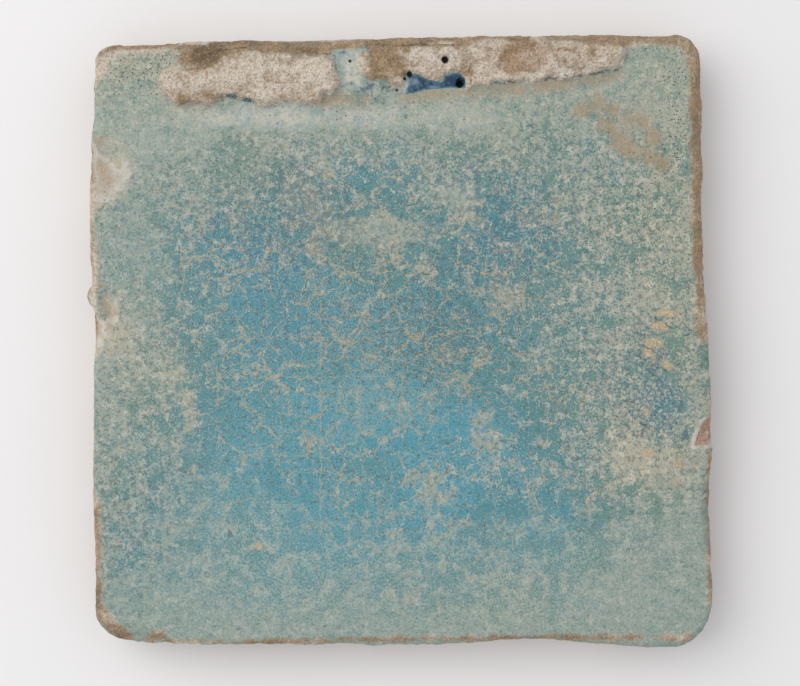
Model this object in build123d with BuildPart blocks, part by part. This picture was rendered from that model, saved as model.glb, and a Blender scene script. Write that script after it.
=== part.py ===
"""A square glazed tile, hand cut and worn, lying on its back with the glazed face up.

It was fired as one piece, so it is one solid: a slab with wavy sides that lean in towards
the flat back, a slightly crowned face with worn arrises, chipped edges, and along the top
side a raised ragged scar of body clay with burst glaze bubbles at its foot.

Millimetres, +Z up. The origin is the middle of the back; +Y points to the scarred side.
"""
from build123d import *

import os

# Overall size
width = 200.0
length = 196.4
thickness = 22.0

# The face falls this far from its middle to the corners, and each side leans in by this much at the back
crown = 1.0
back_inset = 1.8

# Rounding of the upright corners and of the worn front arris, and the small bevel of the back arris
top_left_radius = 5.5
top_right_radius = 9.0
bottom_right_radius = 13.0
bottom_left_radius = 12.0
front_arris_radius = 2.6
back_bevel = 0.9

# The waves of each side: place along the side, as a share of its half length, and how far it stands in from
# the overall box there. The ends of two sides place the corner between them.
left_waves = [(-1, 1.8), (-0.66, 1.4), (-0.34, 1.1), (-0.03, 1.5), (0.34, 0.2), (0.72, 0.9), (1, 1.8)]
right_waves = [
    (-1, 0.6), (-0.74, 0.6), (-0.54, 1.1), (-0.36, 0.3),
    (-0.1, 0.9), (0.18, 2.7), (0.62, 3.3), (1, 4.4),
]
top_waves = [(-1, 3.8), (-0.76, 3.2), (-0.52, 2.1), (-0.2, 1.8), (0.16, 1.0), (0.56, 0.6), (0.8, 0.2), (1, 0.5)]
bottom_waves = [
    (-1, 1.5), (-0.74, 0.6), (-0.44, 0.3), (0.06, 0.2),
    (0.22, 0.5), (0.36, 1.8), (0.58, 0.9), (1, 1.2),
]

# Shell-shaped chips on the front arris: place along the side in millimetres from its middle, chord and depth
chip_lift = 1.2
right_chips = [(72.0, 26.0, 0.8), (44.0, 20.0, 0.7), (22.0, 14.0, 0.9), (-30.0, 9.0, 1.5), (-54.0, 18.0, 0.7)]
top_chips = [(-82.0, 20.0, 1.2), (-36.0, 26.0, 1.4), (80.0, 20.0, 1.2)]
left_chips = [(72.0, 16.0, 1.3), (3.0, 14.0, 1.6), (-70.0, 26.0, 1.2)]
bottom_chips = [(-86.0, 16.0, 1.5), (-77.0, 8.0, 1.4), (-20.0, 22.0, 0.7), (8.0, 12.0, 0.6)]

# A knob of fired clay on the left side, its middle below the face, and the dent pressed into the face beside it
knob_place = 14.0
knob_radius = 5.0
knob_stand = 1.2
knob_drop = 5.6
dent_place = 11.0
dent_chord = 12.0
dent_depth = 0.9

# The scar starts and ends this far from the left and right sides. Its flanks draw in by these amounts from
# its root in the slab to its top: the flank along the tile's edge is gentle, the one over the face is steep.
scar_start = 22.8
scar_end = 27.2
upper_flank = 1.9
lower_flank = 0.9
scar_root = 3.0

# Each lump of the scar: height over the face, its left and right tips and its stations. A tip is a share of the
# scar's run and a distance down from the top side; a station adds the distances of its upper and lower edge.
left_lump_height = 3.0
left_lump_tips = [(0.0, 17.0), (0.376, 14.4)]
left_lump = [
    (0.015, 13.0, 20.0),
    (0.049, 10.9, 23.2),
    (0.098, 9.3, 21.8),
    (0.184, 5.0, 20.2),
    (0.222, 6.9, 22.2),
    (0.323, 7.4, 22.6),
    (0.360, 9.4, 20.6),
]
right_lump_height = 2.4
right_lump_tips = [(0.412, 15.0), (1.0, 8.0)]
right_lump = [
    (0.430, 7.0, 18.0),
    (0.512, 4.6, 17.8),
    (0.541, 4.6, 14.6),
    (0.632, 4.4, 13.6),
    (0.668, 4.4, 17.2),
    (0.735, 4.2, 16.8),
    (0.825, 4.0, 15.7),
    (0.955, 4.3, 12.6),
    (0.988, 5.6, 10.2),
]

# The deep pocket above the left lump: place along the top side, distance down from it, chord and depth
pocket_place = (-61.5, 5.2)
pocket_chord = 11.0
pocket_depth = 1.5

# The low saddle of glaze-covered clay between the lumps
saddle_place = (0.396, 13.0)
saddle_chord = 17.0
saddle_height = 1.2

# Mounds on the lumps: share of the run, distance down, chord and height over the lump
mounds = [
    (0.060, 16.5, 11.0, 0.7),
    (0.165, 12.5, 13.0, 1.1),
    (0.300, 14.5, 14.0, 0.8),
    (0.490, 11.0, 11.0, 0.6),
    (0.700, 10.5, 11.0, 0.7),
    (0.930, 8.6, 8.0, 1.3),
]

# Hollows broken out of the lumps: share of the run, distance down, chord and depth
hollows = [
    (0.095, 18.5, 9.0, 1.0),
    (0.235, 19.0, 9.0, 0.9),
    (0.440, 14.0, 9.0, 1.1),
    (0.560, 9.0, 12.0, 0.6),
    (0.770, 9.5, 17.0, 1.1),
    (0.860, 12.5, 8.0, 0.7),
]

# Burst bubbles: share of the run, distance down, radius and depth below the face
bubbles_in_scar = [(0.611, 8.6, 1.1, 1.5), (0.532, 12.4, 0.8, 1.2), (0.408, 9.0, 0.5, 0.8)]
bubbles_in_glaze = [(0.641, 15.9, 1.2, 2.4), (0.519, 19.6, 0.5, 1.0)]

half_width = width / 2
half_length = length / 2
scar_run = width - scar_start - scar_end
face_radius = (half_width**2 + half_length**2 + crown**2) / (2 * crown)

# Each side's waves and the way that it faces
sides = {
    "left": (left_waves, (-1, 0)),
    "right": (right_waves, (1, 0)),
    "top": (top_waves, (0, 1)),
    "bottom": (bottom_waves, (0, -1)),
}

# Spheres lie with their poles sideways, clear of the surfaces that they shape
sideways = (90, 0, 0)

# Cutters start this far above what they cut
overshoot = 1.0


def face_height(x, y):
    """Height of the crowned face over the back at a place."""
    return thickness - face_radius + (face_radius**2 - x**2 - y**2) ** 0.5


def sphere_radius(chord, depth):
    """Radius of the sphere whose cap has this chord and depth."""
    return (chord**2 / 4 + depth**2) / (2 * depth)


def side_inset(side, along):
    """How far a side stands in from the overall box, at a distance along it from its middle."""
    waves, facing = sides[side]
    share = along / (half_length if facing[0] else half_width)
    for (low, inset_low), (high, inset_high) in zip(waves, waves[1:]):
        if low <= share <= high:
            return inset_low + (inset_high - inset_low) * (share - low) / (high - low)


def side_point(side, along, depth):
    """Place on the face that lies a depth inside a side, at a distance along it."""
    facing = sides[side][1]
    depth += side_inset(side, along)
    if facing[0]:
        return (facing[0] * (half_width - depth), along)
    return (along, facing[1] * (half_length - depth))


def scar_point(share, down):
    """Place on the face of a point of the scar."""
    return (-half_width + scar_start + share * scar_run, half_length - down)


def outline(lean):
    """Draws the four wavy sides as a closed line, each moved in by lean."""
    x, y = half_width - lean, half_length - lean
    top_left = (-x + left_waves[-1][1], y - top_waves[0][1])
    top_right = (x - right_waves[-1][1], y - top_waves[-1][1])
    bottom_right = (x - right_waves[0][1], -y + bottom_waves[-1][1])
    bottom_left = (-x + left_waves[0][1], -y + bottom_waves[0][1])
    Spline(top_left, *[(share * x, y - inset) for share, inset in top_waves[1:-1]], top_right)
    Spline(bottom_right, *[(x - inset, share * y) for share, inset in right_waves[1:-1]], top_right)
    Spline(bottom_left, *[(share * x, -y + inset) for share, inset in bottom_waves[1:-1]], bottom_right)
    Spline(bottom_left, *[(-x + inset, share * y) for share, inset in left_waves[1:-1]], top_left)


def lump_outline(tips, stations, upper_draw, lower_draw):
    """Draws a lump of the scar as a closed line, its upper and lower edges drawn in."""
    (left_share, left_down), (right_share, right_down) = tips
    left = scar_point(left_share + lower_draw / scar_run, left_down)
    right = scar_point(right_share - lower_draw / scar_run, right_down)
    Spline(left, *[scar_point(share, upper + upper_draw) for share, upper, _ in stations], right)
    Spline(right, *[scar_point(share, lower - lower_draw) for share, _, lower in reversed(stations)], left)


def lump(tips, stations, height):
    """Adds a lump of the scar, rooted in the slab, with sloping flanks and a flat top."""
    with BuildSketch(Plane.XY.offset(thickness - scar_root)) as foot:
        with BuildLine():
            lump_outline(tips, stations, 0, 0)
        make_face()
    with BuildSketch(Plane.XY.offset(thickness + height)) as top:
        with BuildLine():
            lump_outline(tips, stations, upper_flank, lower_flank)
        make_face()
    loft([foot.sketch, top.sketch], ruled=True)


def mound(place, top, chord, height):
    """Adds a cap-shaped mound that stands height over top and is rooted as deep below it."""
    radius = sphere_radius(chord, height)
    with BuildPart(mode=Mode.PRIVATE) as cap:
        with Locations((*place, top + height - radius)):
            Sphere(radius, rotation=sideways)
        with Locations((*place, top)):
            Cylinder(chord / 2, 2 * height, mode=Mode.INTERSECT)
    add(cap.part)


def hollow(place, surface, chord, depth):
    """Cuts a shell-shaped hollow with this chord and depth at a height."""
    radius = sphere_radius(chord, depth)
    with Locations((*place, surface - depth + radius)):
        Sphere(radius, rotation=sideways, mode=Mode.SUBTRACT)


def edge_chip(side, along, chord, depth):
    """Cuts a shell-shaped chip out of the front arris, square to its slope."""
    x, y = side_point(side, along, front_arris_radius / 2)
    facing = sides[side][1]
    radius = sphere_radius(chord, depth)
    reach = (radius - depth) / 2**0.5
    middle = (x + facing[0] * reach, y + facing[1] * reach, face_height(x, y) - chip_lift + reach)
    with Locations(middle):
        Sphere(radius, rotation=sideways, mode=Mode.SUBTRACT)


def lump_top(share):
    """Height of the top of the lump that holds a share of the scar's run."""
    height = left_lump_height if share < left_lump_tips[1][0] else right_lump_height
    return thickness + height


with BuildPart() as tile:
    # The slab, with sides that lean in towards the back
    with BuildSketch(Plane.XY):
        with BuildLine():
            outline(back_inset)
        make_face()
    with BuildSketch(Plane.XY.offset(thickness)):
        with BuildLine():
            outline(0)
        make_face()
    loft(ruled=True)

    # The upright corners, each with its own radius
    corner_radii = {
        (-1, 1): top_left_radius,
        (1, 1): top_right_radius,
        (1, -1): bottom_right_radius,
        (-1, -1): bottom_left_radius,
    }
    for (side_x, side_y), radius in corner_radii.items():
        corner = tile.edges().sort_by_distance((side_x * half_width, side_y * half_length, thickness / 2))[0]
        fillet(corner, radius)

    # The crowned face and the two arrises
    with Locations((0, 0, thickness - face_radius)):
        Sphere(face_radius, rotation=sideways, mode=Mode.INTERSECT)
    fillet(tile.faces().sort_by(Axis.Z)[-1].outer_wire().edges(), front_arris_radius)
    chamfer(tile.faces().sort_by(Axis.Z)[0].outer_wire().edges(), back_bevel)

    # The knob on the left side and the dent beside it
    knob_x, knob_y = side_point("left", knob_place, knob_radius - knob_stand)
    with Locations((knob_x, knob_y, thickness - knob_drop)):
        Sphere(knob_radius, rotation=sideways)
    dent = side_point("left", dent_place, dent_chord / 2)
    hollow(dent, face_height(*dent), dent_chord, dent_depth)

    # Chips along the four sides
    for side, chips in (
        ("right", right_chips),
        ("top", top_chips),
        ("left", left_chips),
        ("bottom", bottom_chips),
    ):
        for along, chord, depth in chips:
            edge_chip(side, along, chord, depth)

    # The scar: the pocket, two lumps and the saddle between them
    pocket = side_point("top", *pocket_place)
    hollow(pocket, face_height(*pocket), pocket_chord, pocket_depth)
    lump(left_lump_tips, left_lump, left_lump_height)
    lump(right_lump_tips, right_lump, right_lump_height)
    mound(scar_point(*saddle_place), thickness, saddle_chord, saddle_height)
    for share, down, chord, rise in mounds:
        mound(scar_point(share, down), lump_top(share), chord, rise)
    for share, down, chord, depth in hollows:
        hollow(scar_point(share, down), lump_top(share), chord, depth)

    # Burst bubbles, blind and round
    for share, down, radius, depth in bubbles_in_scar:
        with Locations((*scar_point(share, down), lump_top(share) + overshoot)):
            Hole(radius, lump_top(share) - thickness + depth + overshoot)
    for share, down, radius, depth in bubbles_in_glaze:
        place = scar_point(share, down)
        with Locations((*place, face_height(*place) + overshoot)):
            Hole(radius, depth + overshoot)

# The finished tile is centred over the origin by its own box
middle = tile.part.bounding_box().center()
finished_tile = tile.part.moved(Location((-middle.X, -middle.Y, 0)))
finished_tile.label = "tile"
print("solids", len(finished_tile.solids()), "volume", round(finished_tile.volume))
print("box", finished_tile.bounding_box())

os.makedirs("parts", exist_ok=True)
export_step(finished_tile, "parts/tile.step")
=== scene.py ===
"""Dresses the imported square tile: ragged scar and edges, weathered turquoise glaze, bare fired clay."""

import itertools

import bpy
import numpy as np
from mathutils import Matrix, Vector


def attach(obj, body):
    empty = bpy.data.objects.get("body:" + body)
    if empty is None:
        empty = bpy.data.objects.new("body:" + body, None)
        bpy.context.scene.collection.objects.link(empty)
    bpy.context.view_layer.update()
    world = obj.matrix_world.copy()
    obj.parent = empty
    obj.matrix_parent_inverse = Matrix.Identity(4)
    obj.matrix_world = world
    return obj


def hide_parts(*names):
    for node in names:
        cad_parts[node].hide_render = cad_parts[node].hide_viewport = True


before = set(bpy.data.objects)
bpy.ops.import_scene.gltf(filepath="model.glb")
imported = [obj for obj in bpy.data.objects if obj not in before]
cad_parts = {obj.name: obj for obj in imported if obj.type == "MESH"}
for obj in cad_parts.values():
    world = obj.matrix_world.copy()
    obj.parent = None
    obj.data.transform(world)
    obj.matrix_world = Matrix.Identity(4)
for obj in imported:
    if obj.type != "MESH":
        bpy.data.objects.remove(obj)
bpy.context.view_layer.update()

MM = 0.001

# The face of the tile in millimetres: height of its middle, and how far it falls to its corners
THICKNESS = 22.0
CROWN = 1.0
HALF_WIDTH = 100.0
HALF_LENGTH = 98.0

# Size of the cells that the surface is rebuilt from, in millimetres, and how many triangles are kept
CELL = 0.5
TRIANGLES_KEPT = 196000

# Outlines on the face, in millimetres from the middle of the tile, clockwise from the left
LEFT_LUMP = [
    (-77.2, 82.8), (-75.6, 86.3), (-70.4, 87.4), (-63.5, 87.6), (-59.0, 89.6), (-54.8, 93.0), (-49.0, 93.6),
    (-42.6, 91.6), (-38.0, 92.5), (-31.3, 90.3), (-20.6, 89.6), (-18.8, 82.5), (-20.6, 78.9), (-23.5, 78.2),
    (-24.5, 75.0), (-31.3, 75.2), (-35.6, 76.1), (-42.3, 74.6), (-47.3, 76.9), (-55.6, 78.3), (-59.7, 75.2),
    (-71.8, 73.9), (-76.2, 79.0),
]
RIGHT_LUMP = [
    (-14.2, 86.5), (-13.6, 90.3), (-10.7, 92.4), (-3.2, 94.0), (12.4, 94.2), (14.0, 95.6), (18.1, 94.4),
    (23.1, 94.5), (27.0, 96.0), (34.5, 96.9), (45.9, 96.9), (49.4, 95.4), (64.4, 95.2), (70.0, 94.7),
    (72.3, 91.5), (71.1, 87.6), (62.9, 85.0), (53.7, 83.4), (49.8, 83.6), (49.0, 85.3), (46.6, 84.2),
    (42.3, 82.3), (31.6, 81.8), (21.7, 80.5), (20.2, 85.0), (16.7, 85.6), (13.6, 83.0), (9.2, 82.8),
    (5.6, 85.3), (2.0, 85.0), (1.6, 80.5), (-3.2, 79.4), (-4.6, 82.6), (-9.5, 83.0),
]
RIGHT_RIDGE = [
    (46.5, 86.0), (47.0, 91.0), (52.0, 94.6), (64.4, 94.4), (70.5, 93.0), (71.2, 89.0), (64.0, 86.0),
    (54.0, 84.2),
]
BREAK = [
    (30.5, 86.0), (31.5, 90.5), (38.0, 94.0), (45.5, 93.8), (46.8, 88.4), (42.0, 85.7), (36.0, 85.2),
]
POOL = [
    (2.2, 84.6), (4.6, 85.1), (6.8, 84.2), (8.9, 82.6), (13.2, 82.4), (14.4, 84.3), (16.7, 85.3),
    (19.4, 84.9), (20.6, 83.0), (20.6, 80.6), (14.6, 80.4), (7.5, 79.7), (3.9, 78.6), (0.8, 78.3),
    (2.6, 81.6),
]

# The fresh chip on the right arris, and the worn pale patches and dent on the left one
CHIP = [
    (96.6, -26.2), (98.6, -24.4), (99.5, -26.0), (97.8, -30.0), (99.5, -33.4), (93.8, -33.8), (94.8, -30.0),
]
PALE_PATCH = [
    (-98.8, 64.5), (-96.0, 59.4), (-91.0, 57.4), (-86.6, 57.6), (-85.4, 52.0), (-90.4, 45.6), (-95.6, 41.8),
    (-98.8, 42.6), (-99.0, 51.5),
]
PALE_CORNER = [(-98.6, 6.4), (-95.6, 5.6), (-93.2, 3.4), (-95.4, -1.4), (-97.6, -4.4), (-98.8, -2.0)]
DENT_RIM = [(-89.6, 14.8), (-91.6, 8.0), (-94.0, 2.0), (-96.8, -3.4)]

# Fissures in the glaze, filled with ochre earth, and blue-black lines at the foot of the scar, thick glaze
# with painted shade under the lumps
FISSURES = [
    ((-25.3, 13.1), (-25.3, -63.7)), ((-59.2, 0.3), (-22.4, 1.0)), ((-22.4, 1.0), (-9.6, -4.5)),
    ((-9.6, -4.5), (1.6, -6.7)), ((1.6, -6.7), (22.4, -14.1)), ((1.6, -6.7), (-0.6, -25.3)),
    ((-60.8, -11.8), (-4.8, -11.5)), ((-64.0, -59.5), (-55.0, -52.2)), ((-55.0, -52.2), (-46.7, -50.2)),
    ((-46.7, -50.2), (-38.4, -59.5)),
]
# Cracks in the clay, and painted shadow along the upper edge of the left lump, as straight lines
CRACKS_AND_SHADOWS = [
    ((-6.0, 93.7), (6.0, 94.2)), ((6.0, 94.2), (19.2, 94.0)), ((-56.0, 92.4), (-49.0, 93.4)),
    ((-27.0, 91.6), (-19.0, 91.0)), ((22.6, 82.0), (22.2, 87.0)), ((-63.0, 90.4), (-57.0, 93.0)),
]
# Blue-black lines: thick glaze and painted shade at the foot of the scar, and slate lines in the glaze on the
# right
BLUE_LINES_AND_FOOT_SHADE = [
    ((-55.4, 78.0), (-51.8, 77.6)), ((-50.0, 76.8), (-46.4, 76.2)), ((28.8, 82.0), (36.8, 82.2)),
    ((46.0, 83.2), (60.8, 84.6)), ((60.8, 84.6), (71.0, 87.0)), ((-10.2, 81.6), (-3.2, 80.6)),
    ((81.4, 7.5), (86.9, 4.2)), ((77.3, -1.8), (83.5, -4.4)), ((75.2, -4.5), (85.3, -10.2)),
    ((77.3, -8.2), (81.6, -11.4)), ((88.0, 8.0), (92.6, 3.0)), ((76.0, -26.4), (83.0, -28.4)),
    ((70.0, -18.4), (77.0, -20.6)),
]

# Burst bubbles: place, radius and depth, in millimetres
BUBBLES = [
    (14.3, 89.3, 1.15, 2.6), (19.0, 81.8, 1.2, 2.2), (3.0, 85.0, 0.85, 1.8), (1.4, 83.4, 0.55, 1.2),
    (-15.9, 89.0, 0.5, 1.0), (-1.0, 79.8, 0.45, 0.8),
]

# Odd multipliers that scatter the bits of whole numbers, and the largest number of 32 bits
SEED_FACTOR = 2654435761
AXIS_FACTORS = (374761393, 668265263, 2246822519)
FIRST_FACTOR = np.uint64(2246822519)
LAST_FACTOR = np.uint64(3266489917)
ALL_BITS = np.uint64(2**32 - 1)


def lattice(cell, seed):
    """A repeatable random number from 0 to 1 for each whole-number point."""
    mixed = np.full(len(cell), seed * SEED_FACTOR % 2**32, dtype=np.uint64)
    for axis, factor in enumerate(AXIS_FACTORS[:cell.shape[1]]):
        mixed ^= (cell[:, axis].astype(np.uint64) * np.uint64(factor)) & ALL_BITS
        mixed = (mixed ^ (mixed >> np.uint64(15))) * FIRST_FACTOR & ALL_BITS
    mixed = (mixed ^ (mixed >> np.uint64(13))) * LAST_FACTOR & ALL_BITS
    return (mixed ^ (mixed >> np.uint64(16))).astype(np.float64) / 2**32


def noise(points, size, seed):
    """Smooth noise from -1 to 1 whose lumps are about this size."""
    scaled = points / size
    cell = np.floor(scaled).astype(np.int64)
    part = scaled - cell
    part = part**3 * (part * (part * 6 - 15) + 10)
    total = np.zeros(len(points))
    for corner in itertools.product((0, 1), repeat=points.shape[1]):
        weight = np.prod(np.where(corner, part, 1 - part), axis=1)
        total += weight * lattice(cell + np.array(corner), seed)
    return total * 2 - 1


def rough(points, size, octaves, seed):
    """Noise with finer and weaker noise on top, each half the size of the one before."""
    return sum(noise(points, size / 2**i, seed + i) / 2**i for i in range(octaves))


def step(value, low, high):
    """Smooth rise from 0 at low to 1 at high."""
    share = np.clip((value - low) / (high - low), 0, 1)
    return share * share * (3 - 2 * share)


def depth_inside(outline, x, y):
    """Distance to a closed outline, positive inside it."""
    nearest = np.full(len(x), 1e9)
    inside = np.zeros(len(x), dtype=bool)
    for (ax, ay), (bx, by) in zip(outline, outline[1:] + outline[:1]):
        run_x, run_y = bx - ax, by - ay
        along = np.clip(((x - ax) * run_x + (y - ay) * run_y) / (run_x**2 + run_y**2), 0, 1)
        nearest = np.minimum(nearest, np.hypot(x - ax - along * run_x, y - ay - along * run_y))
        if ay != by:
            crosses = (ay > y) != (by > y)
            inside ^= crosses & (x < ax + (y - ay) * run_x / run_y)
    return np.where(inside, nearest, -nearest)


def line_distance(line, x, y):
    """Distance to an open line."""
    nearest = np.full(len(x), 1e9)
    for (ax, ay), (bx, by) in zip(line, line[1:]):
        run_x, run_y = bx - ax, by - ay
        along = np.clip(((x - ax) * run_x + (y - ay) * run_y) / (run_x**2 + run_y**2), 0, 1)
        nearest = np.minimum(nearest, np.hypot(x - ax - along * run_x, y - ay - along * run_y))
    return nearest


def spots(places, x, y):
    """Sum of soft round or oval spots: place, half width, half height, strength and turn in degrees."""
    total = np.zeros(len(x))
    for cx, cy, wide, high, strength, turn in places:
        angle = np.radians(turn)
        u = (x - cx) * np.cos(angle) + (y - cy) * np.sin(angle)
        v = (y - cy) * np.cos(angle) - (x - cx) * np.sin(angle)
        total += strength * np.exp(-((u / wide) ** 2 + (v / high) ** 2))
    return total


def face_height(x, y):
    """Height of the crowned face."""
    return THICKNESS - CROWN * (x**2 + y**2) / (HALF_WIDTH**2 + HALF_LENGTH**2)


def vertices_of(mesh):
    places = np.empty(len(mesh.vertices) * 3, dtype=np.float32)
    mesh.vertices.foreach_get("co", places)
    return places.reshape(-1, 3).astype(np.float64) / MM


def normals_of(mesh):
    normals = np.empty(len(mesh.vertices) * 3, dtype=np.float32)
    mesh.vertex_normals.foreach_get("vector", normals)
    return normals.reshape(-1, 3).astype(np.float64)


def place_vertices(mesh, points):
    mesh.vertices.foreach_set("co", (points * MM).astype(np.float32).ravel())
    mesh.update()


def with_modifier(piece, kind, **settings):
    """Gives the piece the mesh that a modifier makes of it."""
    modifier = piece.modifiers.new(kind.title(), kind)
    for name, value in settings.items():
        setattr(modifier, name, value)
    depsgraph = bpy.context.evaluated_depsgraph_get()
    made = bpy.data.meshes.new_from_object(piece.evaluated_get(depsgraph))
    piece.modifiers.clear()
    piece.data = made
    return made


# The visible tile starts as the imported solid, rebuilt of small even cells, with the scar's smooth lumps cut
# down to the face: the ragged scar is raised again below
cad_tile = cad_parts["tile"]
tile = bpy.data.objects.new("glazed_tile", cad_tile.data.copy())
bpy.context.scene.collection.objects.link(tile)
mesh = with_modifier(tile, "REMESH", mode="VOXEL", voxel_size=CELL * MM)
points = vertices_of(mesh)
points[:, 2] = np.minimum(points[:, 2], face_height(points[:, 0], points[:, 1]))
place_vertices(mesh, points)
mesh = with_modifier(tile, "REMESH", mode="VOXEL", voxel_size=CELL * MM)
points = vertices_of(mesh)
normals = normals_of(mesh)
print("faces rebuilt", len(mesh.polygons))

# How far each part of the scar and of the worn arrises stands over the face or lies below it, in millimetres
LEFT_RISE = 2.9
LEFT_MOUND = 0.7
RIGHT_RISE = 1.7
RIGHT_MOUND = 0.3
RIDGE_RISE = 0.9
BREAK_DEPTH = 0.9
POOL_RISE = 0.15
CHIP_DEPTH = 0.7
CRACK_DEPTH = 0.5
UPPER_CRACK = [(-10.0, 93.9), (3.0, 94.0), (13.0, 94.2)]

# Soft spots of more or less height: the saddle and the lip of the scar, and the dent and the knob on the
# left side
SWELLS = [
    (-16.5, 85.0, 6.0, 6.5, 1.2, 0), (-3.0, 96.5, 60.0, 2.2, 0.3, 0),
    (-93.6, 12.0, 2.6, 5.2, -0.6, 8), (-98.4, 13.0, 1.4, 3.4, 0.5, 0),
]
KNOB = [(-99.0, 13.4, 3.0, 4.2, 1.0, 0)]
KNOB_STAND = 1.1

# The finished mesh stays between these heights
LOWEST = 0.02
HIGHEST = 26.4


def ragged_edge(flat):
    """How far the broken outlines of the scar wander."""
    return 0.9 * rough(flat, 5.0, 4, 11)


def scar_relief(points):
    """Height of the scar over the face, in millimetres."""
    x, y = points[:, 0], points[:, 1]
    flat = points[:, :2]
    ragged = ragged_edge(flat)
    left = depth_inside(LEFT_LUMP, x, y) + ragged
    right = depth_inside(RIGHT_LUMP, x, y) + ragged
    ridge = depth_inside(RIGHT_RIDGE, x, y) + ragged
    hollow = depth_inside(BREAK, x, y) + 0.6 * ragged
    pool = depth_inside(POOL, x, y) + 0.25 * ragged
    height = LEFT_RISE * step(left, -0.5, 1.5) + LEFT_MOUND * step(left, 1.5, 6.0)
    height = np.maximum(height, RIGHT_RISE * step(right, -0.5, 1.2) + RIGHT_MOUND * step(right, 1.5, 4.0))
    height += RIDGE_RISE * step(ridge, -0.6, 2.2)
    height -= BREAK_DEPTH * step(hollow, -0.5, 1.0)
    height += spots(SWELLS, x, y)
    height -= CHIP_DEPTH * step(depth_inside(CHIP, x, y), -0.8, 1.2)
    height = height * (1 - 0.9 * step(pool, -0.5, 0.5)) + POOL_RISE * step(pool, -0.5, 0.5)
    clay = np.maximum(step(left, -0.5, 1.0), step(right, -0.5, 1.0)) * (1 - step(pool, -0.6, 0.2))
    grain = 0.34 * rough(flat, 7.0, 2, 21) + 0.42 * rough(flat, 2.6, 3, 31)
    height += clay * grain * (1 - 0.6 * step(hollow, -0.5, 1.0))
    height -= CRACK_DEPTH * (1 - step(line_distance(UPPER_CRACK, x, y), 0.15, 0.7))
    for bubble_x, bubble_y, radius, depth in BUBBLES:
        away = np.hypot(x - bubble_x, y - bubble_y) / radius
        height -= (depth + 0.4 * clay) * (1 - step(away, 0.75, 1.1))
    return height


x, y, z = points.T
upward = step(normals[:, 2], 0.35, 0.8)
downward = step(-normals[:, 2], 0.5, 0.9)
sideways = np.clip(1 - upward - downward, 0, 1)
near_face = step(z, THICKNESS - 4.0, THICKNESS - 2.0)

# The face sways, the sides are rough cut clay, the back is scraped and pitted
sway = 0.10 * noise(points, 28.0, 41) + 0.05 * rough(points, 7.0, 3, 42)
cut = 0.45 * rough(points, 9.0, 3, 51) + 0.22 * rough(points, 1.8, 2, 61)
pits = step(noise(points, 2.6, 81), 0.45, 0.8)
scraped = -0.25 - 0.25 * rough(points * (1.0, 0.25, 1.0), 4.0, 3, 71) - 0.3 * pits
knob = KNOB_STAND * spots(KNOB, x, y) * step(z, THICKNESS - 11.0, THICKNESS - 4.0)
out = sway * upward + cut * sideways * 0.8 + scraped * downward + knob * sideways
points = points + normals * out[:, None]
points[:, 2] += scar_relief(points) * upward * near_face
points[:, 2] = np.clip(points[:, 2], LOWEST, HIGHEST)
place_vertices(mesh, points)

mesh = with_modifier(tile, "DECIMATE", ratio=min(1.0, TRIANGLES_KEPT / (2 * len(mesh.polygons))))
mesh.shade_smooth()
print("faces kept", len(mesh.polygons))

# The lists below say where each look of the surface lies. Unless a comment says otherwise they hold soft
# spots: place, half width and half height in millimetres, strength, and turn in degrees.

# How blue the glaze is, over its sage green
BLUE = [
    (-13, -18, 66, 54, 0.42, 0), (-11, -22, 22, 13, 0.34, 0), (-50, -30, 24, 20, 0.34, 0),
    (-30, -54, 26, 17, 0.34, 0), (-34, 10, 28, 19, 0.34, 0), (-48, 32, 22, 16, 0.34, 0),
    (-10, 50, 20, 13, 0.40, 0), (32, 36, 20, 17, 0.44, 0), (14, 6, 30, 20, 0.24, 0),
    (24, -32, 24, 15, 0.24, 0), (10, -51, 24, 13, 0.20, 0), (51, -55, 24, 20, 0.24, 0),
    (-88, -60, 14, 22, 0.2, 0), (66, 8, 16, 30, 0.2, 0), (84, -24, 10, 12, 0.34, 0),
    (64, 60, 14, 12, 0.2, 0), (-92, 36, 12, 30, 0.15, 0), (-36, -74, 46, 14, 0.3, 0),
    (10, -60, 30, 16, 0.32, 0), (52, -62, 26, 20, 0.16, 0), (-58, 24, 22, 24, 0.18, 0),
    (-70, -60, 20, 20, 0.14, 0), (0, -84, 70, 10, 0.16, 0), (14, -30, 30, 14, 0.14, 0),
]

# How far the crust of pale grains closes, more or less than elsewhere
COVER = [
    (-11, -22, 24, 12, -0.42, 0), (-50, -30, 22, 20, -0.26, 0), (-30, -54, 26, 17, -0.36, 0),
    (24, -30, 22, 13, -0.26, 0), (-34, 10, 32, 20, -0.22, 0), (-10, 50, 16, 11, -0.16, 0),
    (-44, 32, 16, 12, 0.12, 0), (34, 36, 14, 12, 0.14, 0), (-8, 50, 16, 9, 0.1, 0),
    (32, 36, 17, 15, -0.16, 0), (12, 4, 26, 18, -0.22, 0), (48, -58, 24, 18, -0.2, 0),
    (-26, 43, 22, 8, 0.1, -40), (-80, -14, 15, 19, 0.1, 0), (78, -38, 14, 11, 0.2, 0),
    (22, 73, 72, 8, 0.2, 0), (-74, 66, 22, 16, 0.14, 0), (74, -80, 14, 13, 0.14, 0),
    (29, -35, 7, 9, 0.34, 0), (39, 15, 7, 10, 0.14, 0), (-62, 31, 6, 6, 0.2, 0), (-14, -33, 11, 4, 0.3, 0),
    (12, -44, 8, 10, 0.2, 0), (87, -20, 7, 7, -0.1, 0), (-92, 55, 7, 9, 0.4, 0), (-93, 3, 6, 8, 0.4, 0),
    (-97, 60, 4, 20, 0.3, 0), (-97, 5, 4, 12, 0.3, 0), (-84, 88, 18, 6, 0.3, 0), (0, -90, 120, 16, 0.1, 0),
    (60, 76, 30, 6, -0.14, 0), (-76, 52, 12, 12, 0.1, 0),
]

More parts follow.
